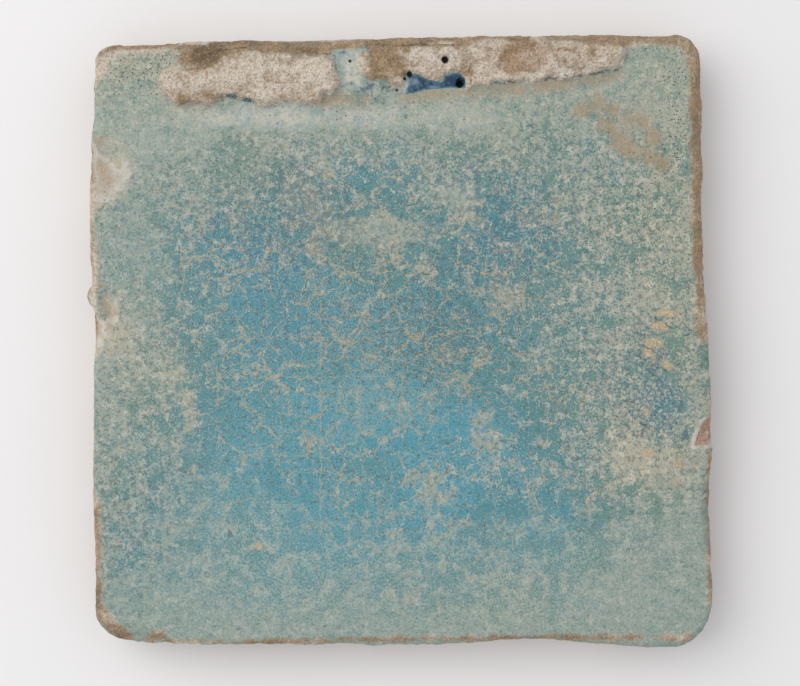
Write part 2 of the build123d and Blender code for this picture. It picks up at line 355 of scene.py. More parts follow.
# A thin pale film on the glaze
FILM = [
    (-92, 55, 8, 9, 0.9, 0), (-93, 3, 6, 8, 0.9, 0), (-26, 43, 24, 9, 0.6, -40), (-80, -14, 17, 20, 0.6, 0),
    (20, 40, 22, 8, 0.4, 10), (60, 4, 14, 26, 0.3, 0), (22, 74, 72, 8, 0.5, 0), (46, 80, 32, 4, 0.5, 4),
    (-70, 68, 30, 12, 0.6, 0), (-60, -92, 40, 10, 0.4, 0), (74, -70, 16, 22, 0.4, 0),
    (78, -38, 14, 11, 0.6, 0), (-12, -33, 14, 6, 0.4, 0), (24, -82, 50, 10, 0.4, 0),
    (-5, 34, 14, 5, 0.8, 0), (16, 48, 8, 4, 1.0, 0), (-52, 40, 8, 6, 0.6, 0), (34, 14, 6, 5, 0.7, 0),
    (-26, 26, 5, 8, 0.6, 0), (28, -28, 6, 7, 0.6, 0), (-64, 44, 5, 5, 0.6, 0),
]

# Where crust and film are cream instead of grey
CREAM = [
    (78, -36, 18, 16, 0.8, 0), (90, 40, 20, 60, 0.8, 0), (-88, 88, 26, 10, 0.8, 0),
    (-93, 55, 8, 10, 1.0, 0), (-94, 3, 7, 8, 1.0, 0), (20, 74, 80, 8, 0.5, 0), (-60, 72, 24, 6, 0.4, 0),
    (10, 20, 50, 40, 0.3, 0), (74, 6, 24, 60, 0.5, 0), (84, 84, 18, 14, 0.6, 0), (-78, -12, 16, 18, 0.5, 0),
    (-80, 84, 20, 10, 0.3, 0), (30, 40, 30, 20, 0.3, 0), (-10, 50, 20, 10, 0.3, 0),
]

# Dark blue veins in thick glaze
VEINS = [
    (80, -6, 12, 20, 0.7, 0), (74, -22, 18, 9, 0.6, 0), (84, -34, 8, 8, 0.4, 0), (-14, 86, 6, 6, 0.9, 0),
]

# Flecks of thick blue glaze, and blue-grey painted shade in the dent on the left side
FLECKS_AND_DENT_SHADE = [
    (-15.4, 82.5, 1.2, 1.1, 1.3, 0), (-18.6, 92.3, 1.8, 0.6, 1.2, -15), (-11.4, 93.3, 1.6, 0.5, 1.1, 0),
    (-12.4, 80.0, 1.6, 0.6, 1.0, -20), (-53.6, 77.9, 2.1, 0.7, 1.4, -4), (-48.4, 76.7, 2.1, 0.6, 1.2, -14),
    (-94.2, 16.2, 2.2, 1.6, 0.7, 0), (-9.4, 80.8, 1.6, 0.7, 1.1, 10), (89.0, -21.0, 2.4, 4.0, 0.8, 0),
    (90.9, -29.4, 1.2, 3.2, 1.2, 0), (79.2, -26.9, 3.2, 1.4, 0.9, -8), (79.2, -9.8, 2.6, 1.2, 1.0, -30),
    (84.6, 3.0, 2.6, 0.9, 0.7, -24), (-54.4, -61.4, 1.2, 1.1, 1.1, 0), (-48.6, -82.9, 1.2, 1.0, 0.8, 0),
    (-73.0, -73.9, 0.8, 0.8, 1.0, 0), (-77.4, -78.0, 0.8, 0.8, 1.0, 0), (-52.2, -69.4, 0.9, 0.8, 0.9, 0),
    (40.0, 68.6, 3.0, 1.0, 0.8, 0), (2.0, 71.4, 3.0, 1.4, 0.7, 0), (-26, 34, 3, 2, 0.6, 0),
    (36, 40, 2.4, 2, 0.6, 0), (24, 30, 3, 1.6, 0.6, 30), (64.0, 84.0, 5.0, 1.4, 0.5, 10),
    (50.6, 87.2, 0.7, 1.2, 0.6, 0), (21.2, 85.2, 0.8, 1.2, 0.6, 0),
]

# Ochre spots
OCHRE = [
    (85.4, 8.4, 4.4, 1.3, 1.2, -12), (83.0, 4.6, 2.8, 1.2, 1.3, -6), (81.2, -0.8, 3.6, 1.6, 1.3, -16),
    (78.8, -4.4, 2.8, 1.5, 0.9, -30), (85.2, -8.2, 3.2, 1.6, 1.0, -34), (88.8, -39.8, 1.3, 3.0, 1.2, 0),
    (78.6, -22.8, 1.4, 1.0, 1.2, 0), (80.0, -28.6, 1.8, 1.5, 1.1, 0), (79.2, -35.8, 3.0, 1.8, 0.9, 0),
    (91.4, -19.0, 1.2, 1.4, 0.8, 0), (-17.6, -0.4, 4.0, 1.2, 1.1, -24), (-45.8, -65.2, 2.4, 1.1, 1.3, -8),
    (88.0, -34.6, 0.8, 1.0, 1.0, 0), (-18.6, -7.4, 2.4, 0.6, 0.7, 60), (9.0, 92.6, 3.4, 1.2, 0.8, 0),
    (-52, 95.2, 5, 1.2, 0.6, 0),
]

# Milky glaze and pale clay, and the painted whitish sheen on the glossy pool
MILK_AND_POOL_SHEEN = [
    (-97.8, 11.5, 1.1, 3.2, 1.1, 0), (-93.2, 12.2, 2.8, 4.6, 0.8, 10), (-15, 90, 6, 4, 0.8, 0),
    (-15, 83, 5, 4, 0.9, 0), (10, 71, 44, 6, 0.5, 0), (-46, 71, 34, 6, 0.6, 0), (-6, 50, 12, 6, 0.25, 0),
    (52.5, 84.8, 3, 1.8, 1.1, 0), (37.5, 84.2, 8, 1.3, 1.1, 0), (-63, 84, 2, 3, 0.8, 0),
    (-42, 87.5, 6, 3, 0.6, 0), (15.6, 89.6, 2.4, 2.4, 0.9, 0), (1.8, 82.2, 1.6, 1.8, 1.1, 0),
    (30, 94.6, 6, 1.6, 1.0, 0), (52, 94.4, 6, 1.6, 0.9, 0), (44, 96, 3, 1.2, 1.0, 0),
    (15, 94.8, 3, 1.0, 1.1, 0), (5.0, 82.6, 0.9, 1.6, 0.8, 24), (10.4, 80.9, 2.8, 0.5, 0.7, 4),
    (17.4, 83.6, 1.2, 0.6, 0.6, 0), (-24, 96.4, 12, 1.0, 0.9, 0), (-84, 92.6, 12, 1.4, 0.8, 6),
    (-92.6, 86.0, 1.6, 5, 0.7, -20), (-66, 95.4, 8, 1.0, 0.9, 0),
]

# Dark grains on the glaze, and painted shade in the dent on the left side
DARK = [
    (-45, 38, 30, 16, 0.30, 0), (-28, 46, 24, 10, 0.4, -40), (10, 4, 26, 18, 0.35, 0),
    (32, 36, 22, 18, 0.35, 0), (-90, -62, 14, 26, 0.3, 0), (66, 46, 26, 26, 0.1, 0),
    (-34, 12, 28, 14, 0.12, 0), (76, -12, 20, 20, 0.1, 0), (12, 0, 14, 12, 0.4, 0),
    (-93, 12, 3, 5, 0.8, 10), (-84, 84, 14, 6, 0.2, 0),
]

# Calm stretches with few strong marks
CALM = [
    (0, -90, 130, 20, 1.0, 0), (-60, -54, 22, 26, 0.6, 0), (50, -66, 40, 16, 0.6, 0),
    (-30, -66, 30, 18, 0.5, 0), (-80, 66, 22, 14, 0.6, 0), (-86, 20, 14, 50, 0.5, 0),
    (88, -70, 14, 30, 0.6, 0), (-6, -18, 20, 18, 0.4, 0), (10, 72, 84, 8, 0.7, 0), (-60, 72, 24, 8, 0.5, 0),
    (82, 84, 18, 12, 0.8, 0), (46, 80, 34, 5, 0.8, 4), (90, 36, 10, 44, 0.5, 0), (-88, 84, 10, 10, 0.4, 0),
    (16, 48, 8, 4, 0.8, 0), (-6, 34, 12, 5, 0.5, 0),
]

# Painted shade in the clay's hollows, most of all in the pocket above the left lump, and darker clay at the
# corners and along the right edge
DEEP = [
    (-61.4, 91.2, 6.0, 3.4, 1.6, 28), (-30, 92.6, 8, 1.8, 0.9, -12), (-46, 95.6, 12, 1.6, 0.5, 0),
    (-8, 86.5, 3.6, 4.5, 0.45, -30), (-2, 89, 5, 3, 0.3, 0), (-67, 77.0, 4, 2.0, 0.2, 0),
    (20, 95.6, 40, 1.0, 0.4, 0), (-96, 92, 4, 3, 0.4, 0), (-97, -80, 3, 14, 0.6, 0),
    (-90, -95.5, 8, 2.4, 0.7, 0), (98.5, 60, 1.6, 14, 0.4, 0), (98.5, 20, 1.6, 10, 0.4, 0),
    (40, 90, 6, 4, 0.25, 0), (52, 95.8, 20, 1.0, 0.3, 0),
]

# Craze lines
CRAZE = [
    (-20, -16, 52, 44, 0.7, 0), (-30, 20, 50, 30, 0.3, 0), (20, -60, 44, 30, 0.3, 0),
    (10, 6, 30, 20, 0.3, 0),
]

# Pinholes
PINHOLES = [
    (-83, 86, 14, 7, 1.3, 0), (90, 76, 5, 16, 1.2, 0), (90, 56, 6, 22, 0.4, 0), (90, 20, 6, 30, 0.15, 0),
    (92, 2, 2.4, 9, 0.9, 20), (78, -26, 14, 12, 0.3, 0), (-10, 73, 50, 4, 0.2, 0), (75, 45, 14, 14, 0.2, 0),
]

# Deeper blue in the glaze and its grains
COBALT = [
    (87, -20, 6, 7, 1.0, 0), (72, -16, 16, 11, 0.4, 0), (32, 30, 24, 26, 0.8, 0), (-4, 54, 26, 10, 0.3, 0),
    (-44, 34, 22, 14, 0.8, 0), (-30, 8, 34, 16, 0.4, 0),
]

# Brown stains on the glaze, and brown painted shade in the bands just under the scar, as lines with their
# half width
STAINS_AND_SHADE = [
    ([(-95.6, 55.4), (-93.8, 51.0)], 2.0), ([(-94.6, 13.0), (-92.8, 8.6)], 1.4),
    ([(-98.4, 52.6), (-97.2, 48.8)], 1.2), ([(-96.8, 64.0), (-94.6, 63.6)], 1.2),
    ([(-98.6, 43.8), (-97.6, 42.4)], 0.6), ([(-98.0, 22.0), (-96.8, 19.0)], 0.7),
    ([(-98.6, 17.2), (-95.0, 17.4)], 0.5), ([(56.6, 73.3), (64.0, 75.2), (71.0, 72.3)], 1.6),
    ([(71.0, 72.3), (79.0, 69.0), (82.0, 62.0)], 2.0),
    ([(66.0, 69.0), (74.0, 60.0), (80.0, 59.0), (84.0, 55.5)], 2.2), ([(24.0, 79.4), (51.0, 80.6)], 1.5),
    ([(46.0, 81.8), (58.0, 82.6), (69.0, 84.2)], 1.6), ([(-25.0, 77.0), (-11.0, 77.2)], 1.3),
    ([(1.0, 77.6), (12.0, 78.6), (24.0, 78.8)], 1.3), ([(89.0, -37.0), (88.0, -46.0)], 0.8),
]

# Arrises worn down to the clay, as lines with their half width
BARE = [
    ([(-97.0, 84.0), (-94.5, 90.5), (-89.0, 93.6), (-78.0, 94.3), (-66.0, 95.0)], 2.4),
    ([(-67.0, 88.8), (-61.0, 90.2), (-56.0, 91.8)], 4.4),
    ([(-58.0, 94.4), (-40.0, 93.6), (-24.0, 92.6)], 3.0),
    ([(-24.0, 96.0), (20.0, 96.4), (90.0, 97.0)], 3.4),
    ([(92.4, 94.4), (95.2, 84.0), (95.4, 60.0), (95.8, 40.0), (97.6, 2.0)], 3.0),
    ([(-99.4, 62.0), (-98.6, 40.0), (-98.0, 14.0), (-98.6, -4.0)], 1.6),
    ([(-99.0, -26.0), (-98.2, -50.0)], 1.0), ([(98.8, -20.0), (99.4, -60.0), (98.4, -84.0)], 1.2),
    ([(-97.0, -50.0), (-96.6, -84.0), (-93.0, -91.0)], 1.7), ([(-95.0, -88.0), (-88.0, -94.5)], 2.6),
    ([(-80.0, -95.5), (-76.0, -94.2)], 1.9), ([(-76.0, -96.4), (-20.0, -96.2)], 1.1),
    ([(-20.0, -95.6), (60.0, -94.8), (92.0, -94.6)], 1.0),
]

# Brown clay instead of pale
BROWN = [
    (-62, 91.5, 8, 5, 1.3, 20), (-40, 95.5, 22, 3.6, 0.9, 0), (-90, 94, 14, 5, 0.6, 0),
    (10, 97.5, 80, 4.2, 0.9, 0), (60, 97.5, 40, 3.6, 0.5, 0), (60, 89, 12, 4, 0.3, 0),
    (-34, 94, 10, 3, 0.4, 0), (-18, 96, 12, 4, 0.5, 0), (-7, 88, 7, 7, 1.05, 0), (38, 89.5, 8, 5.5, 0.6, 0),
    (-66, 77, 10, 3.5, 0.5, 0), (96, 40, 5, 60, 0.8, 0), (97, 84, 5, 16, 0.5, 0), (-99, 40, 4, 46, 0.4, 0),
    (6, 88, 8, 6, 0.3, 0), (24, 88, 6, 6, 0.2, 0), (-98, -70, 6, 40, 0.7, 0), (-90, -94, 16, 6, 0.8, 0),
    (22, 85.5, 3, 4, 0.4, 0), (20, -95.4, 150, 3.0, 0.8, 0), (99, -60, 3, 30, 0.6, 0),
    (-30, 77, 10, 3, 0.35, 0),
]

# Distances are kept up to this many millimetres
FAR = 9.0


def share_of(lines, x, y):
    """How far inside the nearest of some wide lines a place is, in millimetres."""
    return np.max([half - line_distance(line, x, y) for line, half in lines], axis=0)


def unit(values):
    """Values cut off at 0 and 1."""
    return np.clip(values, 0, 1)


def near(distances):
    """Distances to an outline, cut off where they no longer matter."""
    return np.clip(distances, -FAR, FAR)


def on_top(distances):
    """Distances cut off, and outside everywhere on the lower sides and the back."""
    return np.where(upper > 0, near(distances), -FAR)


def store(name, values):
    """Keeps a value for each vertex under a name that the material reads."""
    layer = mesh.attributes.new(name, "FLOAT", "POINT")
    layer.data.foreach_set("value", values.astype(np.float32))


points = vertices_of(mesh)
x, y, z = points.T
flat = points[:, :2]
bent_x = x + 2.2 * rough(flat, 16.0, 3, 201)
bent_y = y + 2.2 * rough(flat, 16.0, 3, 211)
nudge = 0.7 * rough(flat, 3.0, 3, 221)
ragged = ragged_edge(flat)
edge = np.minimum(HALF_WIDTH - abs(x), HALF_LENGTH - abs(y))
on_side = step(THICKNESS - z, 2.2, 4.5)
upper = step(z, 8.0, 12.0)

# The glaze: its blue, its crust and film, and the marks in it
store("blue", unit(spots(BLUE, bent_x, bent_y) + 0.06 * rough(flat, 12.0, 3, 251)))
store("cover", unit(0.62 + spots(COVER, bent_x, bent_y) + 0.12 * step(edge, 16.0, 4.0)))
store("film", unit(spots(FILM, bent_x, bent_y) + 0.08 * rough(flat, 14.0, 4, 261)))
store("cream", unit(spots(CREAM, bent_x, bent_y) + 0.12 * rough(flat, 14.0, 4, 263)))
store("craze", unit(0.12 + spots(CRAZE, bent_x, bent_y) + 0.2 * rough(flat, 16.0, 3, 271)))
store("calm", unit(spots(CALM, bent_x, bent_y)))
store("dark", unit(spots(DARK, bent_x, bent_y)))
store("veins", unit(spots(VEINS, bent_x, bent_y)))
store("cobalt", unit(spots(COBALT, bent_x, bent_y)))
store("ochre", unit(spots(OCHRE, x, y)))
store("pinholes", unit(0.02 + spots(PINHOLES, x, y)))
# Brown stains, and painted shade just under the scar
store("stain_and_shade", share_of(STAINS_AND_SHADE, x + 0.5 * nudge, y) + 1.2 * nudge)
patches = np.maximum(depth_inside(PALE_PATCH, x, y), depth_inside(PALE_CORNER, x, y) + 0.8)
store("worn", near(np.maximum(patches, 1.2 - line_distance(DENT_RIM, x, y)) + nudge))

# The scar, the marks at it and the chip, which the lower sides and the back don't have
store("upper", upper)
store("milk_and_sheen", unit(spots(MILK_AND_POOL_SHEEN, x, y) * (1 - on_side) + 0.12 * rough(flat, 5.0, 3, 265)))
store("flecks_and_dent_shade", unit(spots(FLECKS_AND_DENT_SHADE, x, y)) * upper)
store("break", on_top(depth_inside(BREAK, x, y) + 1.2 * ragged))
store("chip", on_top(depth_inside(CHIP, x, y) + 0.3 * nudge))
store("pool", on_top(depth_inside(POOL, x, y) + 0.25 * ragged))

# The bare clay: the scar, the worn arrises and the sides below the runs of glaze
scar = np.maximum(depth_inside(LEFT_LUMP, x, y), depth_inside(RIGHT_LUMP, x, y)) + ragged
runs = 7.0 + 5.0 * rough(np.column_stack([x, y, 0 * x]), 14.0, 3, 231)
side_clay = (THICKNESS - z) - runs * (0.6 + 0.8 * step(noise(points, 30.0, 241), -0.2, 0.5))
clay = scar * (1 - on_side) + side_clay * on_side
brown = spots(BROWN, x, y) + 0.25 * rough(flat, 5.0, 3, 281)
# Relief of the scar's crumbs, from the noises of its grain: painted shade in hollows, painted highlights on
# crests
crumbs = 0.6 * rough(flat, 7.0, 2, 21) + 0.8 * rough(flat, 2.6, 3, 31)
store("clay", near(np.where(z < 1.5, np.maximum(clay, 2.0), clay)))
store("bare", near(share_of(BARE, x, y) + nudge))
store("brown", unit(np.where(on_side > 0.5, 0.66 + 0.3 * noise(points, 16.0, 291), brown)))
# Painted shade in the hollows, and darker clay at the corners
store("deep", unit(spots(DEEP, x, y) * (1 - 0.7 * on_side) + 0.2 * rough(flat, 4.0, 3, 285)))
store("crumbs", 0.5 + 0.5 * np.clip(crumbs, -1, 1))


def colour(red, green, blue):
    """A colour as seen on a screen, from 0 to 255, as the shader takes it."""
    parts = [value / 255 for value in (red, green, blue)]
    return (*[part / 12.92 if part <= 0.04045 else ((part + 0.055) / 1.055) ** 2.4 for part in parts], 1)


# The glaze, from the edges of the tile to its middle
SAGE = colour(112, 140, 130)
TEAL = colour(84, 136, 142)
TURQUOISE = colour(79, 153, 171)
COBALT_GLAZE = colour(68, 130, 150)
DEEP_TEAL = colour(66, 104, 116)

# Film, calm stretches and crust
GREY_FILM = colour(156, 164, 156)
CREAM_FILM = colour(180, 174, 156)
CALM_SAGE = colour(144, 162, 153)
CALM_CREAM = colour(168, 167, 152)
CALM_BLUE = colour(110, 150, 154)
MOTTLE_LIGHT = colour(176, 188, 174)
MOTTLE_DARK = colour(106, 140, 136)
SPECK_LIGHT = colour(190, 198, 186)
SPECK_DARK = colour(96, 124, 118)
GREY_CRUST = colour(163, 169, 160)
CREAM_CRUST = colour(186, 178, 158)
PALE_CRUST = colour(192, 192, 182)
IVORY_CRUST = colour(214, 204, 182)
CRUST_SHADE = colour(120, 138, 134)

# Marks in the glaze
DARK_GRAIN = colour(74, 98, 96)
BLUE_GRAIN = colour(56, 100, 120)
EARTH_GRAIN = colour(174, 160, 130)
EARTH_LINE = colour(180, 164, 132)
VEIN_BLUE = colour(64, 110, 132)
MILK_WHITE = colour(208, 202, 188)
MILK_BLUE = colour(150, 167, 168)
WORN_BUFF = colour(178, 166, 148)
WORN_WHITE = colour(198, 194, 184)
PALE_OCHRE = colour(206, 186, 150)
DARK_OCHRE = colour(176, 150, 116)
# Brown of the stains, and of the painted shade just under the scar
STAIN_AND_SHADE_BROWN = colour(160, 140, 114)
PINHOLE_BLACK = colour(52, 60, 52)
# Thick glaze and painted shade at the foot of the scar
FOOT_BLUE_AND_SHADE = colour(72, 90, 96)
FLECK_DARK = colour(62, 84, 94)
FLECK_LIGHT = colour(96, 126, 132)
POOL_RIM = colour(80, 126, 140)
POOL_BLUE = colour(36, 60, 84)
# Painted highlight and painted sheen on the pool's gloss
POOL_PAINTED_HIGHLIGHT = colour(96, 126, 142)
POOL_PAINTED_SHEEN = colour(140, 164, 174)
# Painted shade inside the burst bubbles
BUBBLE_SHADE_BLACK = colour(34, 32, 28)

# The fired clay
CLAY_PALE = colour(206, 191, 173)
CLAY_WHITE = colour(226, 217, 204)
CLAY_SAND = colour(190, 170, 140)
CLAY_MILK = colour(218, 210, 194)
GREY_BROWN = colour(144, 124, 98)
WARM_BROWN = colour(165, 136, 108)
# Painted shade in the hollows of the crag relief and of the crumbs
CRAG_SHADE = colour(142, 117, 90)
CRUMB_SHADE = colour(140, 116, 88)
GRAIN_BROWN = colour(120, 99, 76)
# Painted shade in the clay's hollows, and darker clay at the corners
HOLLOW_SHADE_BROWN = colour(106, 84, 58)
# Dark cracks, and painted shadow along the left lump's upper edge
CRACK_AND_SHADOW_BROWN = colour(78, 64, 48)
BREAK_PINK = colour(168, 137, 112)
CHIP_PALE = colour(200, 170, 154)
CHIP_RED = colour(168, 132, 114)
RIM_WHITE = colour(208, 202, 192)

# Flat noise slides by this much for each millimetre of height, so that it doesn't run in streaks down
# the sides
SLANT = (0.7, 0.6, 0)


class Graph:
    """Short calls that build a material's nodes."""

    def __init__(self, material):
        material.use_nodes = True
        self.tree = material.node_tree
        self.shader = self.tree.nodes["Principled BSDF"]
        place = self.node("ShaderNodeTexCoord", {}).outputs["Object"]
        self.place = self.vector("SCALE", {0: place, 3: 1 / MM})
        height = self.node("ShaderNodeSeparateXYZ", {0: self.place}).outputs[2]
        self.slanted = self.vector("ADD", {0: self.place, 1: self.vector("SCALE", {0: SLANT, 3: height})})

    def node(self, kind, sockets, **settings):
        made = self.tree.nodes.new(kind)
        for name, value in settings.items():
            setattr(made, name, value)
        for socket, value in sockets.items():
            if isinstance(value, bpy.types.NodeSocket):
                self.tree.links.new(value, made.inputs[socket])
            else:
                made.inputs[socket].default_value = value
        return made

    def vector(self, operation, sockets, output=0):
        """Vector arithmetic: sockets 0 and 1 take vectors, and socket 3 a scale."""
        return self.node("ShaderNodeVectorMath", sockets, operation=operation).outputs[output]

    def math(self, operation, first, second=0.0):
        return self.node("ShaderNodeMath", {0: first, 1: second}, operation=operation).outputs[0]

    def add(self, *terms):
        total = terms[0]
        for term in terms[1:]:
            total = self.math("ADD", total, term)
        return total

    def times(self, *terms):
        total = terms[0]
        for term in terms[1:]:
            total = self.math("MULTIPLY", total, term)
        return total

    def most(self, *terms):
        total = terms[0]
        for term in terms[1:]:
            total = self.math("MAXIMUM", total, term)
        return total

    def swing(self, noise, amount):
        """Noise about its middle, from minus to plus about half of this amount."""
        sockets = {0: noise, 1: amount, 2: -0.5 * amount}
        return self.node("ShaderNodeMath", sockets, operation="MULTIPLY_ADD").outputs[0]

    def rise(self, value, low, high, start=0.0, end=1.0):
        """A smooth change from start to end as value goes from low to high."""
        sockets = {0: value, 1: low, 2: high, 3: start, 4: end}
        return self.node("ShaderNodeMapRange", sockets, interpolation_type="SMOOTHSTEP").outputs[0]

    def fall(self, value, low, high, start=1.0):
        """A smooth change from start to zero as value goes from low to high."""
        return self.rise(value, low, high, start, 0.0)

    def grains(self, noise, cover, soft):
        """The share of noise above a level that sinks as the cover grows."""
        return self.rise(self.add(noise, self.swing(cover, 0.4)), 0.5 - soft, 0.5 + soft)

    def within(self, limit, distance, soft=0.12):
        """One nearer than the limit, zero beyond it."""
        return self.fall(distance, limit - soft, limit + soft)

    def away(self, point, place):
        """Distance on the face from a point to a place."""
        flat = self.vector("MULTIPLY", {0: place, 1: (1, 1, 0)})
        return self.vector("DISTANCE", {0: flat, 1: (*point, 0)}, "Value")

    def seam(self, start, end, place):
        """Distance on the face from a straight line to a place."""
        run_x, run_y = end[0] - start[0], end[1] - start[1]
        squared = run_x**2 + run_y**2
        along = self.vector("DOT_PRODUCT", {0: place, 1: (run_x / squared, run_y / squared, 0)}, "Value")
        offset = (start[0] * run_x + start[1] * run_y) / squared
        sockets = {0: along, 1: offset}
        share = self.node("ShaderNodeMath", sockets, operation="SUBTRACT", use_clamp=True).outputs[0]
        run = self.vector("SCALE", {0: (run_x, run_y, 0), 3: share})
        nearest = self.vector("ADD", {0: run, 1: (*start, 0)})
        flat = self.vector("MULTIPLY", {0: place, 1: (1, 1, 0)})
        return self.vector("DISTANCE", {0: flat, 1: nearest}, "Value")

    def nearest_seam(self, lines, place):
        """Distance on the face from the nearest of some straight lines."""
        total = self.seam(*lines[0], place)
        for line in lines[1:]:
            total = self.math("MINIMUM", total, self.seam(*line, place))
        return total

    def mix(self, share, first, second):
        return self.node("ShaderNodeMix", {0: share, 6: first, 7: second}, data_type="RGBA").outputs[2]

    def layer(self, name):
        return self.node("ShaderNodeAttribute", {}, attribute_name=name).outputs["Fac"]

    def moved(self, shift):
        """The slanted place, slid sideways so that patterns don't repeat one another."""
        return self.vector("ADD", {0: self.slanted, 1: (shift, -shift, 0)})

    def noise(self, size, detail, roughness, shift=0.0, output=0):
        sockets = {"Vector": self.moved(shift), "Scale": 1 / size, "Detail": detail, "Roughness": roughness}
        return self.node("ShaderNodeTexNoise", sockets, noise_dimensions="2D").outputs[output]

    def solid_noise(self, size, detail, roughness, shift=0.0):
        """Noise that doesn't stretch on the steep edges."""
        place = self.vector("ADD", {0: self.place, 1: (shift, shift, shift)})
        sockets = {"Vector": place, "Scale": 1 / size, "Detail": detail, "Roughness": roughness}
        return self.node("ShaderNodeTexNoise", sockets).outputs[0]

    def bent(self, place, waves, bend):
        """A place pushed about by waves, by up to half of this amount."""
        shift = self.vector("SUBTRACT", {0: waves, 1: (0.5, 0.5, 0.5)})
        return self.vector("ADD", {0: place, 1: self.vector("SCALE", {0: shift, 3: bend})})

    def cells(self, size, feature, place):
        sockets = {"Vector": place, "Scale": 1 / size}
        return self.node("ShaderNodeTexVoronoi", sockets, feature=feature, voronoi_dimensions="2D")

    def border(self, size, place):
        """Distance to the nearest border between cells of about this size."""
        return self.times(self.cells(size, "DISTANCE_TO_EDGE", place).outputs["Distance"], size)


# The noises and waves that the layers share: sizes in millimetres, from fine grain to broad patches
material = bpy.data.materials.new("glaze_and_clay")
g = Graph(material)
fine_earth = g.noise(0.5, 1.0, 0.5, 101.0)
fine = g.noise(0.65, 2.0, 0.6)
medium = g.solid_noise(2.2, 2.0, 0.6, 17.0)
cluster = g.noise(5.5, 2.0, 0.6, 33.0)
patch = g.noise(16.0, 2.0, 0.55, 47.0)
short_waves = g.noise(2.0, 1.0, 0.6, 119.0, 1)
long_waves = g.noise(7.0, 2.0, 0.55, 31.0, 1)
wobbled = g.bent(g.place, short_waves, 1.6)
cream = g.layer("cream")
cobalt = g.layer("cobalt")

# The glaze: blue in the middle, sage green towards the edges, with fine darker grain
tone = g.add(g.layer("blue"), g.swing(cluster, 0.4), g.swing(patch, 0.4))
glaze = g.mix(g.rise(tone, 0.0, 0.4), SAGE, TEAL)
glaze = g.mix(g.rise(tone, 0.3, 0.85), glaze, g.mix(cobalt, TURQUOISE, COBALT_GLAZE))
glaze = g.mix(g.rise(fine, 0.48, 0.7, 0.0, 0.4), glaze, DEEP_TEAL)

# Craze lines part the glaze into cells that stay clear
LARGE_CELL = 17.0
SMALL_CELL = 6.5
arcs = g.border(LARGE_CELL, g.bent(g.moved(5.0), long_waves, 7.0))
small_cells = g.border(SMALL_CELL, g.bent(g.bent(g.moved(9.0), long_waves, 5.0), short_waves, 0.8))
crazed = g.add(g.layer("craze"), g.swing(cluster, 1.2), g.swing(patch, 0.8))
beside = g.most(g.fall(arcs, 0.1, 0.9, 0.8), g.fall(small_cells, 0.05, 0.5, 0.8))
clear = g.times(g.rise(crazed, 0.0, 0.6), g.add(g.times(beside, 0.34), -0.31))

# A thin film, and calm stretches that are mottled but have few strong marks
crust_tone = g.noise(3.0, 4.0, 0.75, 87.0)
film = g.add(g.layer("film"), g.swing(cluster, 1.0), g.swing(patch, 0.8), g.swing(crust_tone, 1.4))
face = g.mix(g.rise(film, 0.2, 0.8, 0.0, 0.65), glaze, g.mix(cream, GREY_FILM, CREAM_FILM))
calm = g.rise(g.add(g.layer("calm"), g.swing(cluster, 0.8), g.swing(patch, 0.8)), 0.0, 1.1)
calm_colour = g.mix(g.rise(tone, 0.1, 0.7), g.mix(cream, CALM_SAGE, CALM_CREAM), CALM_BLUE)
face = g.mix(g.times(calm, 0.5), face, calm_colour)
face = g.mix(g.times(calm, g.rise(cluster, 0.5, 0.66, 0.0, 0.4)), face, MOTTLE_LIGHT)
face = g.mix(g.times(calm, g.rise(medium, 0.47, 0.36, 0.0, 0.35)), face, MOTTLE_DARK)
face = g.mix(g.times(calm, g.rise(fine, 0.5, 0.64, 0.0, 0.42)), face, SPECK_DARK)
face = g.mix(g.times(calm, g.rise(fine, 0.46, 0.36, 0.0, 0.42)), face, SPECK_LIGHT)

# The crust of pale grains, thin where the glaze is clear and nearly closed towards the edges
crust_noise = g.noise(0.78, 2.0, 0.8, 61.0)
curls = g.fall(g.math("ABSOLUTE", g.swing(g.noise(1.6, 1.0, 0.6, 73.0), 1.0)), 0.0, 0.05)
cover = g.add(g.layer("cover"), g.swing(cluster, 1.5), g.swing(patch, 0.9), clear)
crust = g.add(0.5, g.swing(crust_noise, 0.78), g.swing(crust_tone, 0.5), g.times(curls, 0.03))
crust = g.grains(crust, cover, 0.045)
crust_colour = g.mix(cream, GREY_CRUST, CREAM_CRUST)
crust_colour = g.mix(g.rise(crust_tone, 0.5, 0.66), crust_colour, g.mix(cream, PALE_CRUST, IVORY_CRUST))
crust_colour = g.mix(g.rise(crust_noise, 0.46, 0.34, 0.0, 0.6), crust_colour, CRUST_SHADE)
face = g.mix(g.times(crust, g.rise(calm, 0.0, 1.0, 0.74, 0.46)), face, crust_colour)

# Dark grains lie on the glaze and on the crust, and more of them paint shade in the dent on the left side
dark_cover = g.add(0.24, g.times(cobalt, 0.1), g.times(g.layer("dark"), 0.6), g.swing(cluster, 0.5))
dark_grains_and_dent_shade = g.grains(g.noise(1.9, 2.0, 0.85, 111.0), dark_cover, 0.03)
dark_grains_and_dent_shade = g.times(dark_grains_and_dent_shade, g.rise(calm, 0.0, 1.0, 0.55, 0.25))
face = g.mix(dark_grains_and_dent_shade, face, g.mix(cobalt, DARK_GRAIN, BLUE_GRAIN))

